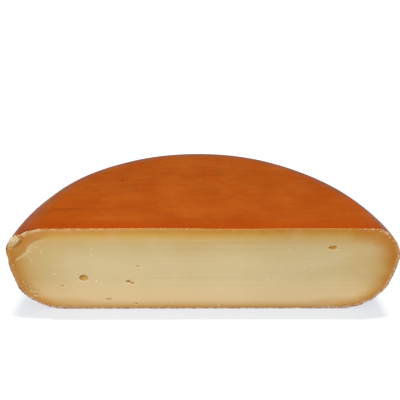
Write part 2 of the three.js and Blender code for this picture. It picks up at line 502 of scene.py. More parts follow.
def crumble_cut(points):
    """Pushes the cut back by its relief, and nicks the rim of the rind inward."""
    x, y, z = points.T
    near = y < RELIEF_REACH
    depth, nearest = from_rind(x[near], z[near])
    back = relief(x[near], z[near], depth)
    rim = fade(0, NICK_BACK, y[near]) * (1 - np.clip(depth / NICK_LENGTH, 0, 1))
    notch = smoothstep(0.1, 0.75, cut_noise("nicks", points[near]))
    notch = notch * (0.35 + 0.65 * smoothstep(-0.2, 0.5, cut_noise("nicked stretches", points[near])))
    moved = points.copy()
    moved[near, 1] = back + y[near] * (1 - back / RELIEF_REACH)
    nick = NICK_DEPTH * notch * rim * (1 - TOP_CALM * UNDER_TOP[nearest])
    moved[np.ix_(near, (0, 2))] += INWARD[nearest] * nick[:, None]
    return moved


in_plane = places(body)[:, 1] < TINY
reshape(body, crumble_cut)
print("the cut lies up to", round(places(body)[in_plane, 1].max() / MM, 2), "mm behind its plane")

# %% [markdown]
# ## Eyes
# Gouda forms a few round eyes, and an aged one has small slits and torn holes as well. Painted
# on, they would stay flat in every light. So each is a ball, pressed to its size and torn by
# noise, and one boolean takes them all out of the body.

# %% Cut the eyes
# across, up, wide, high and deep in millimetres, how torn, and how dark its painted shade inside is
EYES = (
    (-108.4, 38, 8.2, 6.8, 2.4, 0.05, 0),
    (-68.2, 33.9, 4.4, 3.0, 1.9, 0.4, 0.5),
    (-64.6, 31.8, 4.6, 1.8, 1.5, 0.35, 0.5),
    (-129, 28.3, 3.0, 2.6, 1.0, 0.25, 0.1),
    (-88.2, 12.6, 6.6, 1.7, 1.5, 0.25, 0.6),
    (-58.3, 51.3, 4.2, 1.6, 0.9, 0.25, 0.5),
    (-62.1, 6.9, 2.4, 1.7, 1.2, 0.25, 0.8),
    (115.5, 71.4, 7.4, 4.2, 1.9, 0.3, 0.45),
)
EYE_BEHIND = 0.12  # share of its depth that a ball's middle lies behind the plane of the cut
BALL_DETAIL = 5


def apply_all(piece):
    """Applies every modifier of a piece."""
    take(piece)
    for modifier in list(piece.modifiers):
        bpy.ops.object.modifier_apply(modifier=modifier.name)


def torn_ball(across, up, wide, high, deep, torn):
    """A ball pressed to the size of an eye, its surface torn by a broad and a fine noise."""
    ball = fresh(bpy.ops.mesh.primitive_ico_sphere_add, subdivisions=BALL_DETAIL, radius=1)
    size = np.array((wide / 2, deep, high / 2)) * MM
    middle = np.array((across, EYE_BEHIND * deep, up)) * MM
    bulge = 1.2 * noise_at(places(ball), 0.9, across) + 0.5 * noise_at(places(ball), 0.35, up)
    reshape(ball, lambda p: p * (1 + torn * bulge)[:, None])
    reshape(ball, lambda p: p * size + middle)
    return ball


cutters = [torn_ball(*eye[:6]) for eye in EYES]
take(*cutters)
bpy.ops.object.join()
cutter = cutters[0]
hollowed = body.modifiers.new("eyes", "BOOLEAN")
hollowed.operation = "DIFFERENCE"
hollowed.solver = "EXACT"
hollowed.object = cutter
apply_all(body)
bpy.data.objects.remove(cutter)
print("with", len(EYES), "eyes the body has", len(body.data.polygons), "faces")

# %% [markdown]
# ## Masks: the depth under the rind
# Paste dries from the rind inward, so its colour is a matter of depth. An image could be painted,
# but a mask, a number from 0 to 1 on each vertex, is exact. The dry band is broad at the sides,
# thinner under the top and thinnest at the foot, so the depth is stretched along the outline.

# %% Depth of each vertex
DEEPEST = 60 * MM  # deeper than this, nothing changes
TOP_DEEPEST = 20 * MM
UNDER_TOP_REACH = (8 * MM, 20 * MM)
TOP_STRETCH = 0.7
CORNER_STRETCH = 1.5
FOOT_STRETCH = 2.0
FLAT_FOOT_ENDS = (112 * MM, 142 * MM)


def set_mask(name, values):
    """Stores a number from 0 to 1 on each vertex of the body."""
    layer = body.data.attributes.new(name, "FLOAT", "POINT")
    layer.data.foreach_set("value", np.clip(values, 0, 1).astype(np.float32))


points = places(body)
x, y, z = points.T
near_cut = y < RELIEF_REACH
level, nearest = from_rind(x, z)
flat_foot = ALONG_FOOT**8 * fade(*FLAT_FOOT_ENDS, np.abs(OUTLINE[:, 0]))
stretch = 1 + TOP_STRETCH * UNDER_TOP + CORNER_STRETCH * ALONG_FOOT**1.5 + FOOT_STRETCH * flat_foot
stretched, _ = from_rind(x, z, stretch)
set_mask("rind_depth", stretched / DEEPEST)
set_mask("top_depth", level / TOP_DEEPEST)
set_mask("under_top", UNDER_TOP[nearest] * fade(*UNDER_TOP_REACH, level))
print("the deepest point lies", round(level.max() / MM, 1), "mm under the rind")

# %% [markdown]
# ## Masks: lines along the rim
# The edge of the cut is a ragged line of crumbled coat: pale at the top left, thin in the middle,
# broad at the right end and doubled by a warm band at the foot. A bevel would be even all round,
# so each stretch is a mask of its own width, made ragged by noise.

# %% Lines at the top, the sides and the foot
LEFTWARD = (-150 * MM, -60 * MM)
SIDE_LINE_RIGHT, SIDE_LINE_LEFT = 2.6, 1.0  # millimetres wide
FOOT_ENDS = (95 * MM, 125 * MM)
WHITENED_AT, WHITENED_REACH = -145.5, 5.5  # the top line is whitened here, in millimetres

ragged = cut_noise("ragged", points)
leftward = fade(*LEFTWARD, x)
top_line = (1.1 + 1.7 * leftward + 0.6 * ragged) * MM
top_rim = UNDER_TOP[nearest] * fade(0.6, 1.3, level / top_line)
set_mask("top_rim", top_rim)
set_mask("whitened", top_rim * np.exp(-(((x / MM - WHITENED_AT) / WHITENED_REACH) ** 2)))
side_rim = (1 - UNDER_TOP[nearest]) * (1 - ALONG_FOOT[nearest] ** 2)
side_line = np.where(x > 0, SIDE_LINE_RIGHT, SIDE_LINE_LEFT) * MM * (1 + 0.4 * ragged)
set_mask("side_rim", side_rim * fade(0.7, 1.2, level / side_line))
foot_end = smoothstep(*FOOT_ENDS, np.abs(OUTLINE[nearest, 0]))
foot_line = (1.6 + 1.2 * foot_end) * MM
set_mask("foot_rim", ALONG_FOOT[nearest] * fade(0.8, 1.5, level / foot_line))
foot_reach = (11 + 7 * foot_end) * MM
set_mask("foot_band", ALONG_FOOT[nearest] ** 0.7 * fade(0.35, 1, level / foot_reach))
print("the top line is", (top_line.min() / MM).round(1), "to", (top_line.max() / MM).round(1), "mm wide")

# %% [markdown]
# ## Masks: darker and lighter patches, and painted shade at the edge
# The broken corner dried to amber, the right shoulder is darker, and a golden patch lies beside the
# break. A dull grey line round the edge of the top is painted shade and sheen. They could be
# painted by hand, but distances from a line or a spot place them exactly.

# %% Dry corner, dark shoulder, golden patch and painted shade at the edge of the top
RIGHT_SHOULDER = np.array([(136, 88), (152, 84), (164, 75), (173, 62)]) * MM
SHOULDER_REACH = 8.5 * MM
GOLDEN = (-143, 69, 17, 11)
PAINTED_EDGE_INSIDE = (-9 * MM, -3 * MM)  # from the edge of the top
PAINTED_EDGE_OUTSIDE = (3 * MM, 10 * MM)
PAINTED_EDGE_LESS = (55, 78)  # degrees from straight back, where the line fades towards the cut


def soft_spot(across, up, wide, high):
    """1 at a spot of the cut, fading out across and up by millimetres."""
    return np.exp(-(((x / MM - across) / wide) ** 2) - ((z / MM - up) / high) ** 2)


beyond = smoothstep(0.3 * MM, 2.5 * MM, from_line(x, z, CREASE))
set_mask("dry_corner", beyond * (1 - 0.8 * smoothstep(-150 * MM, -128 * MM, x)) * near_cut)
shoulder = np.exp(-((from_line(x, z, RIGHT_SHOULDER) / SHOULDER_REACH) ** 2))
set_mask("shoulder", shoulder * near_cut)
set_mask("golden", soft_spot(*GOLDEN) * near_cut)
# painted shade and sheen: a dull grey line round the edge of the top, weaker towards the cut
azimuth = np.arctan2(y, x)
from_back = np.abs(90 - np.degrees(azimuth))
past_edge = np.hypot(x, y) / out_of_round(azimuth) - TOP_RADIUS
rubbed = smoothstep(*PAINTED_EDGE_INSIDE, past_edge) * fade(*PAINTED_EDGE_OUTSIDE, past_edge)
rubbed = rubbed * (1 - 0.75 * smoothstep(*PAINTED_EDGE_LESS, from_back)) * (z > WIDEST_AT)
set_mask("rubbed", rubbed)
print("vertices on the worn edge:", int((rubbed > 0.5).sum()))

# %% [markdown]
# ## Masks: where the corner tore
# Torn paste scatters light, so the crease, its branch, two torn spots and the chips are pale. The
# pale crease also stands in for its ridge catching the light, a painted highlight, and the soft
# shade that the largest shards throw is a painted shadow. Cracks this thin would be lost in the
# grid, so they are drawn in colour.

# %% Pale fractures with painted highlight, painted shadow and chips
CREASE_BRANCH = np.array([(-157.6, 64.8), (-155.4, 63.5), (-154, 61.3), (-152.8, 59), (-153.4, 54)])
SHARD_SHADE = np.array([(-167, 70.8), (-163, 72.8), (-160.4, 75.2), (-158.8, 77.6)])
TORN_SPOTS = ((-152.8, 69, 2.4, 4), (-146.6, 72.6, 2.2, 1.6))  # across, up and reach both ways
FRACTURE_WIDTH = 1.5 * MM
FRACTURE_FAINTER = (-150 * MM, -137 * MM)
FLAKY = 0.8 * MM


def drawn(line, solid, edge, wobble=0.0):
    """1 on a crooked line, fading from a solid to an outer share of the fracture's width."""
    away = np.abs(from_line(x, z, line)) + wobble
    return fade(solid * FRACTURE_WIDTH, edge * FRACTURE_WIDTH, away)


flaky = FLAKY * cut_noise("flaky", points)
# pale crease: torn paste, and a painted highlight where its ridge catches the light
fracture = drawn(CREASE[1:-1], 0.2, 1, flaky)
fracture = fracture * (1 - 0.6 * smoothstep(*FRACTURE_FAINTER, x))
fracture = np.maximum(fracture, 0.8 * drawn(CREASE_BRANCH * MM, 0.1, 0.8))
for spot in TORN_SPOTS:
    fracture = np.maximum(fracture, 0.9 * soft_spot(*spot))
set_mask("fracture", fracture)
# painted shadow that the largest shards throw on the cut
set_mask("shade", drawn(SHARD_SHADE * MM, 0.2, 0.85, 0.6 * flaky) * near_cut)
chips = sum(fade(0.5, 1, from_spot(x, z, cx, cz) / wide) for cx, cz, wide, _ in CHIPS)
set_mask("chipped", chips * near_cut)
print("vertices on the fracture:", int(((fracture > 0.5) & near_cut).sum()))

# %% [markdown]
# ## Masks: painted light and shade inside the eyes
# An eye is dark under its roof, its floor is lit, a bright lip lies under it and light bounces warm
# inside. Lamps alone give too little of this in holes a few millimetres wide, so it is painted:
# masks mark the painted shade, light and highlight, from how far a vertex lies behind the relief
# and how high it is in its own eye.

# %% Hollow, painted shade of the roof, painted light of the floor and lip
RIM_ZONE = 4 * MM  # so near the rind, a face may belong to it
HOLLOW_DEPTH = (0.2 * MM, 1.5 * MM)
ROOF = (-0.7, 0.6)  # heights in an eye, from -1 at its foot to 1 at its top
FLOOR = (-0.95, -0.35)
LIP_DROP, LIP_HEIGHT = 0.2, 0.9  # millimetres below the eye, and how high the lip is

in_cut = near_cut & (level > RIM_ZONE)
hollow = np.zeros(len(points))
behind = y[in_cut] - relief(x[in_cut], z[in_cut], level[in_cut])
hollow[in_cut] = smoothstep(*HOLLOW_DEPTH, behind)
set_mask("hollow", hollow)
eyes = np.array(EYES)
eye = eyes[from_spot(x[:, None], z[:, None], eyes[:, 0], eyes[:, 1]).argmin(axis=1)]
painted_darkness = eye[:, 6]
raised = 2 * (z / MM - eye[:, 1]) / eye[:, 3]
# painted shade under the roof of each eye, and painted light on its floor
set_mask("eye_roof", hollow * np.maximum(painted_darkness, smoothstep(*ROOF, raised)))
set_mask("eye_floor", hollow * (1 - painted_darkness) * fade(*FLOOR, raised))
# painted highlight: a bright lip just under each eye
lip = sum(
    soft_spot(across, up - 0.5 * high - LIP_DROP, 0.6 * wide, LIP_HEIGHT)
    for across, up, wide, high, *_ in EYES
)
set_mask("lip", lip * (1 - hollow) * near_cut)
print("vertices inside the eyes:", int((hollow > 0.5).sum()))

# %% [markdown]
# ## Two finishes on one body
# Paste and rind meet in a sharp line at the rim. They could be two pieces, but one closed body
# has no gap between them. A face is paste if it is near the cut, under the skin of the rind, and
# looks forward or lies well inside.

# %% Sort the faces, place the body and smooth it
RIND_SKIN = 0.1 * MM  # a face this near the outline belongs to the rind
LOOKS_FORWARD = -0.35
SMOOTH_UNDER = math.radians(38)


def face_vectors(kind):
    """The centres or the normals of the body's faces as an array."""
    flat = np.empty(3 * len(body.data.polygons))
    body.data.polygons.foreach_get(kind, flat)
    return flat.reshape(-1, 3)


centres = face_vectors("center")
under_rind, _ = from_rind(centres[:, 0], centres[:, 2])
cut_open = (face_vectors("normal")[:, 1] < LOOKS_FORWARD) | (under_rind > RIM_ZONE)
is_paste = (centres[:, 1] < RELIEF_REACH) & (under_rind > RIND_SKIN) & cut_open
body.data.polygons.foreach_set("material_index", np.where(is_paste, 0, 1).astype(np.int32))
reshape(body, lambda p: p + np.array((AXIS_X, FACE_Y, 0)))
take(body)
bpy.ops.object.shade_smooth_by_angle(angle=SMOOTH_UNDER)
body.data.calc_loop_triangles()
print("paste faces", int(is_paste.sum()), "rind faces", int((~is_paste).sum()))
print("triangles", len(body.data.loop_triangles))

# %% [markdown]
# ## Crumbs
# Crumbs of rind and dry paste stay on the rim, most of them at the right end, low on the left and
# along the foot. A particle system could sow them, but a loop with its own seed puts them where
# crumbs really stay. Each is a copy of a ball of twenty faces, knocked out of shape.

# %% Making and sowing lumps
rng = random.Random(11)


def lump(subdivisions, roughness, seed):
    """A small ball with its vertices knocked out of place."""
    piece = fresh(bpy.ops.mesh.primitive_ico_sphere_add, subdivisions=subdivisions, radius=1)
    start_editing(piece, "SELECT")
    bpy.ops.transform.vertex_random(offset=roughness, uniform=0.4, seed=seed)
    stop_editing()
    return piece


def scatter(name, models, spots):
    """One piece made of copies of the models; a spot is a place, three sizes and three turns."""
    copies = []
    for place, sizes, turns in spots:
        copy = bpy.data.objects.new(name, rng.choice(models).data.copy())
        bpy.context.collection.objects.link(copy)
        turned = Matrix.Translation(place) @ Euler(turns).to_matrix().to_4x4()
        copy.data.transform(turned @ Matrix.Diagonal((*sizes, 1)))
        copies.append(copy)
    take(*copies)
    bpy.ops.object.join()
    for model in models:
        bpy.data.objects.remove(model)
    piece = copies[0]
    piece.name = name
    start_editing(piece, "SELECT")
    bpy.ops.mesh.normals_make_consistent(inside=False)
    stop_editing()
    print(name, "has", len(spots), "pieces and", len(piece.data.polygons), "faces")
    return piece


def on_cut(across, up, proud=0.0):
    """A place on the cut at millimetres across and up, in the frame."""
    x, z = np.array([across * MM]), np.array([up * MM])
    depth, _ = from_rind(x, z)
    back = float(relief(x, z, depth)[0])
    return Vector((AXIS_X + across * MM, FACE_Y + back - proud, up * MM))


print("the middle of the cut is at", [round(v / MM, 1) for v in on_cut(0, HEIGHT / MM / 2)], "mm")

# %% Crumbs along the rim of the cut
CRUMBS = 460
CRUMB_RADIUS = (0.2, 0.55)
CRUMB_BAND = 2.4  # width of the crumbly rim, where 0.25 mm at the edge stays free
CRUMB_SLIDE = 1.2
LOWEST_CRUMB = 0.7
RIGHT_END = 138
RIGHT_END_LARGER = 1.25
FULL_TURN = 2 * math.pi


def crumb_chance(across, up):
    """How likely a crumb stayed at a place of the rim, in millimetres across and up."""
    if across > RIGHT_END:
        return 0.9
    if across < -110 and up < 45:
        return 0.7
    if up < 6:
        return 0.5
    if across < -20 and up > 80:
        return 0.12
    return 0.04


def any_turn():
    return [rng.uniform(0, FULL_TURN) for _ in range(3)]


crumb_spots = []
while len(crumb_spots) < CRUMBS:
    sample = rng.randrange(len(OUTLINE))
    place, inward = OUTLINE[sample] / MM, INWARD[sample]
    if rng.random() > crumb_chance(*place):
        continue
    inset = CRUMB_BAND * rng.random() ** 1.6 + 0.25
    slide = rng.uniform(-CRUMB_SLIDE, CRUMB_SLIDE)
    across = place[0] + inward[0] * inset + inward[1] * slide
    up = max(place[1] + inward[1] * inset - inward[0] * slide, LOWEST_CRUMB)
    size = rng.uniform(*CRUMB_RADIUS) * (RIGHT_END_LARGER if place[0] > RIGHT_END else 1) * MM
    sizes = [size * rng.uniform(0.7, 1.4) for _ in range(3)]
    crumb_spots.append((on_cut(across, up, 0.3 * size), sizes, any_turn()))
crumbs = scatter("rim_crumbs", [lump(1, 0.28, seed) for seed in (3, 8, 21, 34)], crumb_spots)

# %% [markdown]
# ## Shards at the broken corner
# Where the corner broke, flat chips of dry rind stuck up and stayed, and a few lie lower on the
# left. A ball would look like a crumb, so a chip starts as a cube, cut finer, knocked rough and
# worn round at its edges.

# %% Chips of dry rind
# across, up, then length, height and thickness in millimetres and the turn in the face in degrees
SHARDS = (
    (-167.3, 76.0, 9.2, 4.3, 3.2, 58),
    (-163.4, 77.9, 8.0, 3.8, 3.2, 50),
    (-165.4, 80.6, 4.8, 1.8, 1.8, 36),
    (-155.9, 84.9, 3.4, 1.3, 1.0, 42),
    (-153.6, 87.0, 3.6, 0.9, 0.7, 32),
    (-157.0, 23.3, 6.6, 1.1, 0.5, -14),
    (-155.2, 17.4, 3.6, 1.3, 0.6, -18),
    (-162.6, 26.9, 1.6, 1.3, 0.7, 20),
    (-158.7, 28.7, 0.9, 2.6, 0.5, 0),
    (-164.2, 34.4, 1.2, 1.2, 0.6, 0),
    (-169.8, 53.0, 1.2, 1.0, 0.6, 0),
)
SHARD_PROUD = 0.4 * MM
SHARD_TILT = 0.3  # radians, at most


def shard(seed):
    """A chip of dry rind: a cube cut finer, knocked rough and rounded at its edges."""
    piece = fresh(bpy.ops.mesh.primitive_cube_add, size=1)
    start_editing(piece, "SELECT")
    bpy.ops.mesh.subdivide(number_cuts=4)
    bpy.ops.transform.vertex_random(offset=0.09, uniform=0.3, seed=seed)
    stop_editing()
    rounded = piece.modifiers.new("worn", "SMOOTH")
    rounded.iterations = 1
    rounded.factor = 0.6
    apply_all(piece)
    return piece


def tilt():
    return rng.uniform(-SHARD_TILT, SHARD_TILT)


shard_spots = []
for across, up, long, high, thick, turn in SHARDS:
    turns = (tilt(), -math.radians(turn), tilt())
    sizes = [long * MM, thick * MM, high * MM]
    shard_spots.append((on_cut(across, up, SHARD_PROUD), sizes, turns))
shards = scatter("rind_shards", [shard(seed) for seed in (2, 5, 9)], shard_spots)

# %% [markdown]
# ## Crystals
# White specks in an aged cheese are crystals that formed as it ripened. Dots of colour would do
# from afar, but the larger ones stand up and catch the light, so they are small flattened lumps.
# The places of the clear ones are given, and fine ones are sown.

# %% Crystals in the cut
# across, up and radius in millimetres
CRYSTALS = (
    (-98.5, 63.5, 0.8), (-134.6, 42.1, 0.7), (-97.1, 34.4, 1.1), (18.5, 24.7, 0.9), (59.7, 35.3, 0.8),
    (77.6, 69.7, 0.8), (98.2, 52.5, 0.6), (-28.5, 7.6, 0.8), (16.1, 4.4, 0.9), (-142.7, 67.4, 0.6),
    (-98.1, 70.6, 0.7),
)
CRYSTAL_SHAPE = (1, 0.35, 0.85)
FINE_CRYSTALS = 90
FINE_RADIUS = (0.15, 0.34)
FINE_ACROSS, FINE_UP = (-155, 155), (8, 84)

crystal_spots = []
for across, up, size in CRYSTALS:
    sizes = [size * MM * share for share in CRYSTAL_SHAPE]
    crystal_spots.append((on_cut(across, up), sizes, (0, rng.uniform(0, 3), 0)))
while len(crystal_spots) < len(CRYSTALS) + FINE_CRYSTALS:
    across, up = rng.uniform(*FINE_ACROSS), rng.uniform(*FINE_UP)
    size = rng.uniform(*FINE_RADIUS) * MM
    crystal_spots.append((on_cut(across, up), (size, 0.4 * size, size), (0, rng.uniform(0, 3), 0)))
crystals = scatter("crystals", [lump(2, 0.16, seed) for seed in (4, 6)], crystal_spots)

# %% [markdown]
# ## Shader maths in Python
# A material could be wired node by node, but it reads better as a formula. A `Wire` stands for a
# value on its way through it, and sums and products of wires add the Math nodes. `Finish.add`
# makes every other node, and `layers` lays one coat of colour over another.


# %% Wires that can be added and multiplied
class Wire:
    """An output socket that can be used in arithmetic."""

    def __init__(self, finish, socket):
        self.finish, self.socket = finish, socket

    def math(self, operation, first, second):
        return self.finish.add("ShaderNodeMath", {"operation": operation}, {0: first, 1: second})

    def __add__(self, other):
        return self.math("ADD", self, other)

    def __sub__(self, other):
        return self.math("SUBTRACT", self, other)

    def __rsub__(self, other):
        return self.math("SUBTRACT", other, self)

    def __mul__(self, other):
        return self.math("MULTIPLY", self, other)

    __radd__ = __add__
    __rmul__ = __mul__


def rgb(red, green, blue):
    """A colour as it is seen, 0 to 255, as the light that a material takes."""
    seen = (red / 255, green / 255, blue / 255)
    return (*(((c + 0.055) / 1.055) ** 2.4 if c > 10 / 255 else c / 12.92 for c in seen), 1)


print("a middle grey as light:", round(rgb(128, 128, 128)[0], 3))


# %% A finish and its nodes
class Finish:
    """A material, and the one way that nodes are added to it."""

    def __init__(self, name):
        self.material = bpy.data.materials.new(name)
        self.material.use_nodes = True
        self.tree = self.material.node_tree
        self.tree.nodes.clear()

    def add(self, kind, settings=None, sockets=None, output=0):
        node = self.tree.nodes.new(kind)
        for name, value in (settings or {}).items():
            if name == "stops":
                while len(node.color_ramp.elements) < len(value):
                    node.color_ramp.elements.new(1)
                for element, (place, colour) in zip(node.color_ramp.elements, value):
                    element.position, element.color = place, colour
            else:
                setattr(node, name, value)
        for name, value in (sockets or {}).items():
            if isinstance(value, Wire):
                self.tree.links.new(value.socket, node.inputs[name])
            else:
                node.inputs[name].default_value = value
        return Wire(self, node.outputs[output]) if node.outputs else None

    def place(self):
        return self.add("ShaderNodeTexCoord", output="Object")

    def along(self, axis):
        return self.add("ShaderNodeSeparateXYZ", {}, {"Vector": self.place()}, output=axis)

    def mask(self, name):
        return self.add("ShaderNodeAttribute", {"attribute_name": name}, output="Fac")

    def stretched(self, scale, turn=0.0):
        """The place on the piece, turned about Z and multiplied along each axis."""
        sockets = {"Vector": self.place(), "Rotation": (0, 0, turn), "Scale": scale}
        return self.add("ShaderNodeMapping", {"vector_type": "POINT"}, sockets)

    def noise(self, where, scale, detail=2.0, roughness=0.5):
        sockets = {"Vector": where, "Scale": scale, "Detail": detail, "Roughness": roughness}
        return self.add("ShaderNodeTexNoise", {}, sockets)

    def ramp(self, value, low, high):
        """0 below low, 1 above high, and smooth between."""
        sockets = {"Value": value, "From Min": low, "From Max": high}
        return self.add("ShaderNodeMapRange", {"interpolation_type": "SMOOTHSTEP"}, sockets)

    def bands(self, depth, stops, deepest):
        """A colour for each depth, from rows of millimetres and a colour as seen."""
        stops = [(at * MM / deepest, rgb(*seen)) for at, *seen in stops]
        return self.add("ShaderNodeValToRGB", {"stops": stops}, {"Fac": depth}, "Color")

    def mix(self, factor, under, over, blend="MIX"):
        settings = {"data_type": "RGBA", "blend_type": blend}
        return self.add("ShaderNodeMix", settings, {0: factor, 6: under, 7: over}, output=2)

    def layers(self, colour, *coats):
        """Lays coats over a colour: each is where it lies, how strong it is, and its colour."""
        for where, strength, seen in coats:
            over = seen if isinstance(seen, Wire) else rgb(*seen)
            colour = self.mix(strength * where, colour, over)
        return colour

    def bumps(self, height, distance, strength, **under):
        sockets = {"Height": height, "Distance": distance, "Strength": strength, **under}
        return self.add("ShaderNodeBump", {}, sockets)

    def surface(self, **sockets):
        """The last node: a Principled surface, with underscores for spaces in its socket names."""
        named = {name.replace("_", " "): value for name, value in sockets.items()}
        shader = self.add("ShaderNodeBsdfPrincipled", {}, named)
        self.add("ShaderNodeOutputMaterial", {}, {"Surface": shader})
        return self.material


# %% [markdown]
# ## Paste: the bands under the rind
# Paste is brown at the rind, then orange, and fades to cream over centimetres. A few painted
# rings would look drawn, so a ramp of colours follows the depth, and noise lets it wander. Under
# the top the band is narrower, and paler at the left.

# %% Colours by depth
# millimetres under the rind and the colour as seen
PASTE_BANDS = (
    (0.0, 184, 142, 96), (1.4, 186, 134, 72), (3.2, 183, 117, 34), (6.5, 183, 119, 36),
    (9.0, 188, 132, 52), (12.0, 194, 146, 73), (15.0, 198, 156, 86), (20.0, 201, 165, 101),
    (28.0, 204, 172, 112), (40.0, 207, 180, 124), (59.0, 214, 190, 139),
)
TOP_BANDS_LEFT = (
    (0.0, 222, 152, 70), (1.7, 214, 158, 82), (3.2, 206, 148, 70), (5.0, 210, 152, 66),
    (8.0, 215, 166, 78), (10.5, 217, 173, 94), (14.0, 214, 177, 110), (19.5, 212, 180, 120),
)
TOP_BANDS_RIGHT = (
    (0.0, 206, 128, 44), (1.7, 198, 128, 40), (3.4, 196, 133, 42), (5.5, 202, 144, 54),
    (8.0, 206, 155, 72), (10.5, 205, 160, 80), (14.0, 204, 164, 92), (19.5, 206, 171, 107),
)


def rightward(f):
    return f.ramp(f.along("X"), -120 * MM, 100 * MM)


def band_colours(f, depth, fine):
    """The bands at the sides and the foot, and the warmer ones under the top."""
    wavy = depth * (0.72 + 0.36 * f.noise(f.place(), 30, 3) + 0.2 * fine)
    colour = f.bands(wavy, PASTE_BANDS, DEEPEST)
    left = f.bands(f.mask("top_depth"), TOP_BANDS_LEFT, TOP_DEEPEST)
    right = f.bands(f.mask("top_depth"), TOP_BANDS_RIGHT, TOP_DEEPEST)
    return f.layers(colour, (f.mask("under_top"), 0.85, f.mix(rightward(f), left, right)))


print("the paste has its last colour at", PASTE_BANDS[-1][0], "mm")

# %% [markdown]
# ## Paste: clouds, knife lines and patches
# The cream has milky clouds, faint level lines that the knife combed and warmer ends, and painted
# light makes its lower middle paler and pinker. One picture could hold them all, but thin layers
# over the bands can each be tuned. The torn places and the eyes lie over these.


# %% Tints over the bands
def paste_tints(f, colour, depth, lines):
    """Lays the clouds, the knife's lines and the broad patches over the bands."""
    across = f.along("X")
    ends = f.ramp(across * across, 0.004, 0.024)  # square metres: from 63 to 155 mm out
    clouds = f.ramp(f.noise(f.place(), 16, 4, 0.6), 0.35, 0.7)
    combed = (0.25 + 0.75 * f.ramp(across, -100 * MM, 0.0)) * f.ramp(depth, 0.1, 0.4)
    hue = f.noise(f.place(), 55, 2)
    # painted light: the lower middle of the cut is made paler and pinker
    painted_light_low = 1 - f.ramp(f.along("Z"), 12 * MM, 45 * MM)
    duller = f.ramp(across, 30 * MM, 80 * MM) * (1 - f.ramp(across, 105 * MM, 135 * MM))
    return f.layers(
        colour,
        (f.mask("dry_corner"), 0.85, (187, 116, 22)),
        (ends, 0.14, (190, 142, 92)),
        (clouds * f.ramp(depth, 0.2, 0.6), 0.25, (222, 204, 156)),
        (combed * f.ramp(lines, 0.5, 0.72), 0.34, (188, 160, 112)),
        (combed * f.ramp(1 - lines, 0.52, 0.75), 0.26, (232, 212, 168)),
        (f.ramp(hue, 0.5, 0.72), 0.12, (232, 190, 152)),
        (f.ramp(1 - hue, 0.5, 0.72), 0.12, (198, 194, 118)),
        (painted_light_low * f.ramp(depth, 0.15, 0.5), 0.5, (240, 204, 152)),
        (duller, 0.1, (150, 130, 84)),
        (f.mask("foot_band"), 0.42, (212, 148, 56)),
        (f.mask("shoulder"), 0.5, (184, 104, 0)),
        (f.mask("golden"), 0.16, (205, 158, 56)),
    )


def torn_and_hollow(f, colour):
    """Lays pale torn paste, partly painted highlight, then the eyes' painted lip, glow, shade and floor
    light.
    """
    torn = f.mask("fracture") * f.ramp(f.noise(f.place(), 420, 2), 0.3, 0.6)
    chipped = f.mask("chipped") * f.ramp(f.noise(f.place(), 330, 3), 0.42, 0.6)
    return f.layers(
        colour,
        # pale torn paste, with a painted highlight along the crease
        (torn, 0.6, (224, 200, 150)),
        (chipped, 0.8, (222, 198, 152)),
        # painted light and shade: a highlight on the lip, a warm glow of bounced light inside, shade
        # under the roof and light on the floor
        (f.mask("lip"), 0.8, (240, 212, 152)),
        (f.mask("hollow"), 0.85, (224, 166, 64)),
        (f.mask("eye_roof"), 0.9, (136, 88, 12)),
        (f.mask("eye_floor"), 0.9, (244, 204, 108)),
    )


# %% [markdown]
# ## Paste: the rim, and the finished surface
# At the rim, flecks of coat and paste mix under the ragged lines. Paste is waxy: light enters it a
# few millimetres, so it has some subsurface light, a dull gloss, a fine grain and the knife's
# lines as bump. A harder gloss would look like plastic.


# %% Flecks and lines along the rim
def crumbled_rim(f, colour, depth):
    """Lays flecks, then the lines of the top, the sides and the foot, and the painted shadow of the
    shards.
    """
    rim = 1 - f.ramp(depth, 0.4 * MM / DEEPEST, 4.5 * MM / DEEPEST)
    dry_end = f.ramp(f.along("X"), 110 * MM, 160 * MM)
    light = rim * f.ramp(f.noise(f.place(), 620, 2) + 0.07 * dry_end, 0.54, 0.64)
    dark = rim * f.ramp(f.noise(f.stretched((1, 1, 1), 0.7), 540, 2), 0.55, 0.66)
    crumbly = f.ramp(f.noise(f.place(), 800, 2), 0.35, 0.6)
    ragged_tone = f.ramp(f.noise(f.place(), 480, 1), 0.4, 0.6)
    side = rightward(f)

    def ragged(darker, paler):
        return f.mix(ragged_tone, rgb(*darker), rgb(*paler))

    top_tone = f.mix(side, ragged((202, 138, 66), (234, 178, 108)), rgb(214, 138, 52))
    # at the left the side line is dark brown: partly the coat's dull edge, partly painted shade along it
    side_tone = f.mix(side, rgb(120, 88, 54), ragged((158, 120, 76), (222, 186, 132)))
    foot_tone = ragged((172, 128, 104), (226, 202, 184))
    return f.layers(
        colour,
        (dark, 0.5, (150, 96, 48)),
        (light, 0.7, (232, 190, 130)),
        (f.mask("top_rim") * (0.35 + 0.65 * crumbly), 1, top_tone),
        (f.mask("whitened"), 0.8, (226, 186, 144)),
        (f.mask("side_rim") * (0.4 + 0.5 * crumbly), 1, side_tone),
        (f.mask("foot_rim") * (0.5 + 0.5 * crumbly), 1, foot_tone),
        # painted shadow under the largest shards
        (f.mask("shade"), 0.65, (134, 92, 30)),
    )


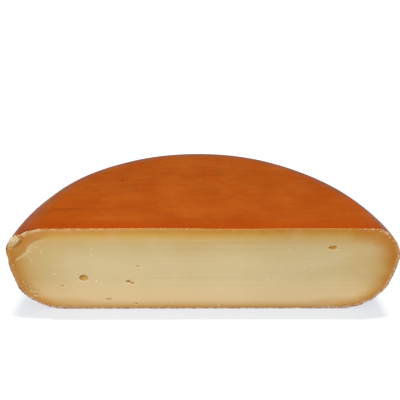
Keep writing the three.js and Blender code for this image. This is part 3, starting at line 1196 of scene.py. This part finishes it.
def aged_paste():
    f = Finish("aged_paste")
    depth = f.mask("rind_depth")
    fine = f.noise(f.place(), 160, 2)
    lines = f.noise(f.stretched((5, 5, 420)), 1, 4, 0.7)
    colour = paste_tints(f, band_colours(f, depth, fine), depth, lines)
    colour = crumbled_rim(f, torn_and_hollow(f, colour), depth)
    grain = f.bumps(f.noise(f.place(), 1300, 3), 0.12 * MM, 0.6)
    return f.surface(
        Base_Color=colour,
        Roughness=0.5 + 0.22 * fine,
        Normal=f.bumps(lines, 0.25 * MM, 0.5, Normal=grain),
        Subsurface_Weight=0.12,
        Subsurface_Radius=(1.0, 0.55, 0.22),
        Subsurface_Scale=2.5 * MM,
        Specular_IOR_Level=0.15,
    )


body.data.materials.append(aged_paste())
print("the paste has", len(body.data.materials[0].node_tree.nodes), "nodes")

# %% [markdown]
# ## Rind
# The coat was brushed on in thin layers: orange brown with faint streaks, duller patches, a redder
# line behind the cut and one small knock. A dull grey line round the edge of the top is painted
# shade and sheen, and a dark line along its low edge by the cut is painted shade. One flat orange
# would look like plastic, so a bright undercoat lies under thin amber, and a dusty sheen greys the
# edges.

# %% The brushed coat
STREAK_TURN = math.radians(-13)
AMBER = (0.8, 0.95, 1.0, 1)
UNDERCOAT = (1.5, 1.1, 0.75, 1)  # the paint under the amber layer is this much brighter
MARK = (AXIS_X - 80.6 * MM, FACE_Y + 88.4 * MM)
MARK_RADIUS = (0.5 * MM, 2.0 * MM)


def brushed(f, patch, streaks):
    """Clouds of two oranges under patches, streaks and fine streaks."""
    cloud = f.noise(f.place(), 22, 4, 0.6)
    fine = f.noise(f.stretched((60, 240, 200), STREAK_TURN), 1, 3, 0.7)
    return f.layers(
        f.mix(f.ramp(cloud, 0.35, 0.68), rgb(149, 64, 10), rgb(157, 74, 18)),
        (f.ramp(patch, 0.5, 0.75), 0.5, (138, 72, 24)),
        (f.ramp(streaks, 0.52, 0.72), 0.42, (120, 49, 14)),
        (f.ramp(1 - streaks, 0.54, 0.74), 0.3, (174, 86, 26)),
        (f.ramp(fine, 0.5, 0.7), 0.3, (128, 58, 20)),
        (f.ramp(1 - fine, 0.5, 0.7), 0.2, (172, 84, 30)),
    )


def coat_marks_and_painted_shade(f, colour, patch):
    """Red behind the cut, painted shade at its low edge, painted shade and sheen round the top, specks
    and the knock.
    """
    back = f.along("Y")
    behind_cut = 1 - f.ramp(back, -84 * MM, -68 * MM)
    # painted shade: darker along the coat's low edge beside the cut
    painted_shade_low_edge = (1 - f.ramp(back, -87.2 * MM, -85 * MM)) * (1 - f.ramp(f.along("Z"), 40 * MM, 60 * MM))
    # painted shade and sheen: the dull grey line round the edge of the top
    worn = f.mask("rubbed") * (0.5 + 0.5 * f.ramp(patch, 0.35, 0.6))
    cells = f.add("ShaderNodeTexVoronoi", {}, {"Vector": f.place(), "Scale": 62.0, "Randomness": 1.0})
    mark_x, mark_y = f.along("X") - MARK[0], back - MARK[1]
    from_mark = mark_x * mark_x + mark_y * mark_y
    return f.layers(
        colour,
        (behind_cut, 0.55, (149, 55, 2)),
        (painted_shade_low_edge, 0.8, (118, 92, 54)),
        (worn, 0.5, (108, 83, 80)),
        (1 - f.ramp(cells, 0.03, 0.07), 0.5, (120, 52, 20)),
        (1 - f.ramp(from_mark, *(r**2 for r in MARK_RADIUS)), 0.75, (104, 32, 6)),
    )


def rind_coat():
    f = Finish("rind_coat")
    patch = f.noise(f.place(), 75, 3, 0.6)
    streaks = f.noise(f.stretched((7, 70, 60), STREAK_TURN), 1, 4, 0.65)
    colour = coat_marks_and_painted_shade(f, brushed(f, patch, streaks), patch)
    return f.surface(
        Base_Color=f.mix(1.0, colour, UNDERCOAT, "MULTIPLY"),
        Roughness=0.36 + 0.2 * patch,
        Normal=f.bumps(f.noise(f.place(), 130, 3) + 0.6 * streaks, 0.5 * MM, 0.5),
        Specular_IOR_Level=0.02,
        Coat_Weight=1.0,
        Coat_Roughness=0.6,
        Coat_IOR=1.04,
        Coat_Tint=AMBER,
        Sheen_Weight=1.0,
        Sheen_Roughness=0.22,
        Sheen_Tint=(0.42, 0.35, 0.3, 1),
    )


body.data.materials.append(rind_coat())
print("the coat has", len(body.data.materials[1].node_tree.nodes), "nodes")

# %% [markdown]
# ## Finishes of the small pieces
# Crumbs and chips are bits of rind and dry paste, and crystals are nearly white. Each could have
# its own material, but one noise about the size of a crumb tints them all.


# %% Crumbs, chips and crystals
def crumb_finish(name, dark, pale, size):
    f = Finish(name)
    tint = f.ramp(f.noise(f.place(), 1 / size, 1), 0.42, 0.6)
    grain = f.noise(f.place(), 1800, 2)
    colour = f.mix(tint, rgb(*dark), rgb(*pale))
    return f.surface(
        Base_Color=f.layers(colour, (grain, 0.25, (245, 226, 188))),
        Roughness=0.55 + 0.2 * grain,
        Normal=f.bumps(grain, 0.1 * MM, 0.5),
        Specular_IOR_Level=0.3,
    )


crumbs.data.materials.append(crumb_finish("rim_crumb", (186, 118, 58), (228, 192, 138), 3 * MM))
shards.data.materials.append(crumb_finish("dry_shard", (190, 156, 104), (220, 197, 150), 4 * MM))
crystals.data.materials.append(crumb_finish("crystal", (228, 208, 164), (244, 232, 200), 9 * MM))
print("finishes", [m.name for m in bpy.data.materials])

# %% [markdown]
# ## Floor
# The ground is plain white, with one soft shadow in front. Lit by lamps alone, white turns grey
# towards the horizon and throws orange back on the cheese. So it is pale grey and glows.

# %% A glowing floor
FLOOR_SIZE = 14.0

floor = fresh(bpy.ops.mesh.primitive_plane_add, size=FLOOR_SIZE)
floor.name = "floor"
paper = Finish("paper")
tone = paper.noise(paper.place(), 3, 2)
floor.data.materials.append(
    paper.surface(
        Base_Color=paper.mix(tone, rgb(157, 160, 163), rgb(159, 162, 165)),
        Roughness=0.9,
        Specular_IOR_Level=0.1,
        Emission_Color=rgb(246, 250, 255),
        Emission_Strength=0.645,
    )
)
print("the floor is", FLOOR_SIZE, "m wide")

# %% [markdown]
# ## Light
# A bright world all round would wash out the deep orange of the coat, so it stays dim. A soft
# lamp in front lights the cut, a wide ceiling lights the top, and a narrow strip high behind
# throws the even shadow. A lamp close by would make the shadow fan out.


# %% Lamps and world
def soft_lamp(name, place, size, power, aim=(0, 0, 0.05)):
    """A lamp of a width and a depth that faces a point."""
    turn = (Vector(aim) - Vector(place)).to_track_quat("-Z", "Y").to_euler()
    lamp = fresh(bpy.ops.object.light_add, type="AREA", location=place, rotation=turn)
    lamp.name = name
    lamp.data.shape = "RECTANGLE"
    lamp.data.size, lamp.data.size_y = size
    lamp.data.energy = power
    print(name, power, "W at", place)


soft_lamp("key", (-0.9, -1.9, 1.5), (1.3, 1.3), 27)
soft_lamp("ceiling", (0, 0.8, 6.0), (5.6, 5.6), 95, aim=(0, 0.8, 0))
soft_lamp("strip", (0.3, 0.88, 6.0), (1.5, 0.14), 350, aim=(0.3, 0, 0))
world = bpy.data.worlds.new("studio")
world.use_nodes = True
world.node_tree.nodes["Background"].inputs["Color"].default_value = (0.93, 0.96, 1, 1)
world.node_tree.nodes["Background"].inputs["Strength"].default_value = 0.15
bpy.context.scene.world = world
bpy.context.scene.view_settings.view_transform = "Standard"

# %% [markdown]
# ## Hand over
# Every piece rides on the one body of the frame. Together they stand for the solid half wheel, so
# the solid itself is hidden.

# %% Ride and hide the solid
for piece in (body, crumbs, shards, crystals):
    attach(piece, "root")
    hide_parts("half_wheel")
    print(piece.name, "rides on the root")
